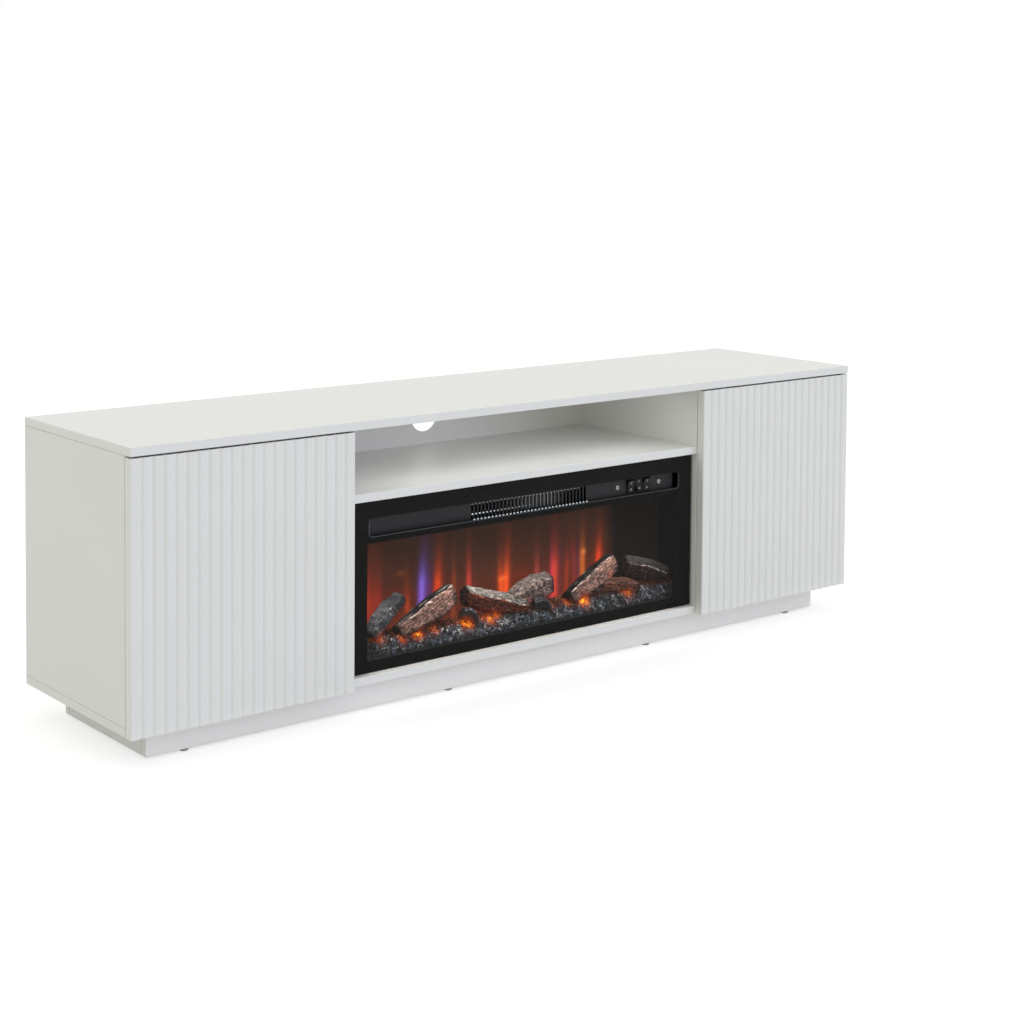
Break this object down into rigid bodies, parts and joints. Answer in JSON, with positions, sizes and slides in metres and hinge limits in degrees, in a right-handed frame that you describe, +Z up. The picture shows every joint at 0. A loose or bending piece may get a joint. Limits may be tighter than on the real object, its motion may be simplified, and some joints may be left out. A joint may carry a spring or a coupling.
{
  "type": "fireplace tv stand",
  "caption": "Low white media cabinet with fluted push-open cupboard doors, an open niche with a cable hole, and an electric fireplace with rocker switches behind smoked glass.",
  "frame": {"origin": "middle of the footprint on the floor", "axes": "+X to the viewer's right along the width, +Y from front to back, +Z up"},
  "size_m": [1.8, 0.4, 0.55],
  "materials": {
    "lacquered_board": "satin white lacquer on fibreboard",
    "back_board": "white painted hardboard",
    "zinc": "nickel plated",
    "steel": "zinc plated",
    "white_plastic": "moulded",
    "black_plastic": "moulded",
    "rocker_plastic": "polished",
    "smoked_glass": "tempered, black printed border",
    "black_sheet": "matt black powder coat",
    "aluminium": "mill finish",
    "motor_paint": "semi-gloss",
    "acrylic": "frosted",
    "ember_resin": "cast resin",
    "log_resin": "painted cast resin",
    "foil": "polished foil",
    "circuit_board": "white solder mask"
  },
  "bodies": {
    "cabinet": {"blower_housing": "black_sheet", "blower_motor": "motor_paint", "bottom_panel": "lacquered_board", "cable_gland": "black_plastic", "cam_bolts": "steel", "cam_locks": "zinc", "casing": "black_sheet", "casing_clips": "zinc", "control_fascia": "black_sheet", "deck": "black_sheet", "ember_bed": "ember_resin", "fascia_screws": "steel", "flame_screen": "acrylic", "front_glass": "smoked_glass", "front_plate": "black_sheet", "glides": "black_plastic", "heater_core": "aluminium", "hinge_arms": "zinc", "hinge_plates": "zinc", "latch_housings": "white_plastic", "led_board": "circuit_board", "left_back_panel": "back_board", "left_divider": "lacquered_board", "left_shelf": "lacquered_board", "left_side_panel": "lacquered_board", "logs": "log_resin", "niche_back_panel": "back_board", "niche_shelf": "lacquered_board", "plinth_back": "lacquered_board", "plinth_cross_rails": "lacquered_board", "plinth_front": "lacquered_board", "plinth_left": "lacquered_board", "plinth_right": "lacquered_board", "right_back_panel": "back_board", "right_divider": "lacquered_board", "right_shelf": "lacquered_board", "right_side_panel": "lacquered_board", "rotor_brackets": "zinc", "rotor_motor": "motor_paint", "shelf_pins": "steel", "switch_housings": "black_plastic", "top_panel": "lacquered_board"},
    "left_door": {"left_door": "lacquered_board", "left_hinge_cups": "zinc", "left_hinge_pins": "steel", "left_strike": "steel"},
    "right_door": {"right_door": "lacquered_board", "right_hinge_cups": "zinc", "right_hinge_pins": "steel", "right_strike": "steel"},
    "left_plunger": {"left_latch_plunger": "white_plastic"},
    "right_plunger": {"right_latch_plunger": "white_plastic"},
    "power_rocker": {"power_rocker": "rocker_plastic"},
    "low_heat_rocker": {"low_heat_rocker": "rocker_plastic"},
    "high_heat_rocker": {"high_heat_rocker": "rocker_plastic"},
    "blower_wheel": {"blower_wheel": "aluminium"},
    "flame_rotor": {"flame_rotor": "foil"}
  },
  "joints": [
    {"name": "left_door_hinge", "type": "hinge", "parent": "cabinet", "child": "left_door", "pos_m": [-0.8936, -0.191, 0.294], "axis": [0, 0, -1], "range_deg": [0, 95]},
    {"name": "left_latch_slide", "type": "slide", "parent": "cabinet", "child": "left_plunger", "axis": [0, -1, 0], "range_m": [0, 0.035]},
    {"name": "right_door_hinge", "type": "hinge", "parent": "cabinet", "child": "right_door", "pos_m": [0.8936, -0.191, 0.294], "axis": [0, 0, 1], "range_deg": [0, 95]},
    {"name": "right_latch_slide", "type": "slide", "parent": "cabinet", "child": "right_plunger", "axis": [0, -1, 0], "range_m": [0, 0.035]},
    {"name": "power_rocker_pivot", "type": "hinge", "parent": "cabinet", "child": "power_rocker", "pos_m": [0.2766, -0.1549, 0.344], "axis": [1, 0, 0], "range_deg": [-16, 0]},
    {"name": "low_heat_rocker_pivot", "type": "hinge", "parent": "cabinet", "child": "low_heat_rocker", "pos_m": [0.299, -0.1549, 0.344], "axis": [1, 0, 0], "range_deg": [0, 16]},
    {"name": "high_heat_rocker_pivot", "type": "hinge", "parent": "cabinet", "child": "high_heat_rocker", "pos_m": [0.3214, -0.1549, 0.344], "axis": [1, 0, 0], "range_deg": [-16, 0]},
    {"name": "blower_spin", "type": "hinge", "parent": "cabinet", "child": "blower_wheel", "pos_m": [0, -0.0928, 0.3525], "axis": [1, 0, 0], "continuous": true},
    {"name": "flame_rotor_spin", "type": "hinge", "parent": "cabinet", "child": "flame_rotor", "pos_m": [0, -0.0448, 0.106], "axis": [1, 0, 0], "continuous": true}
  ],
  "couplings": [
    {"joint": "left_latch_slide", "follows": "left_door_hinge", "m_per_rad": 0.021108},
    {"joint": "right_latch_slide", "follows": "right_door_hinge", "m_per_rad": 0.021108}
  ]
}
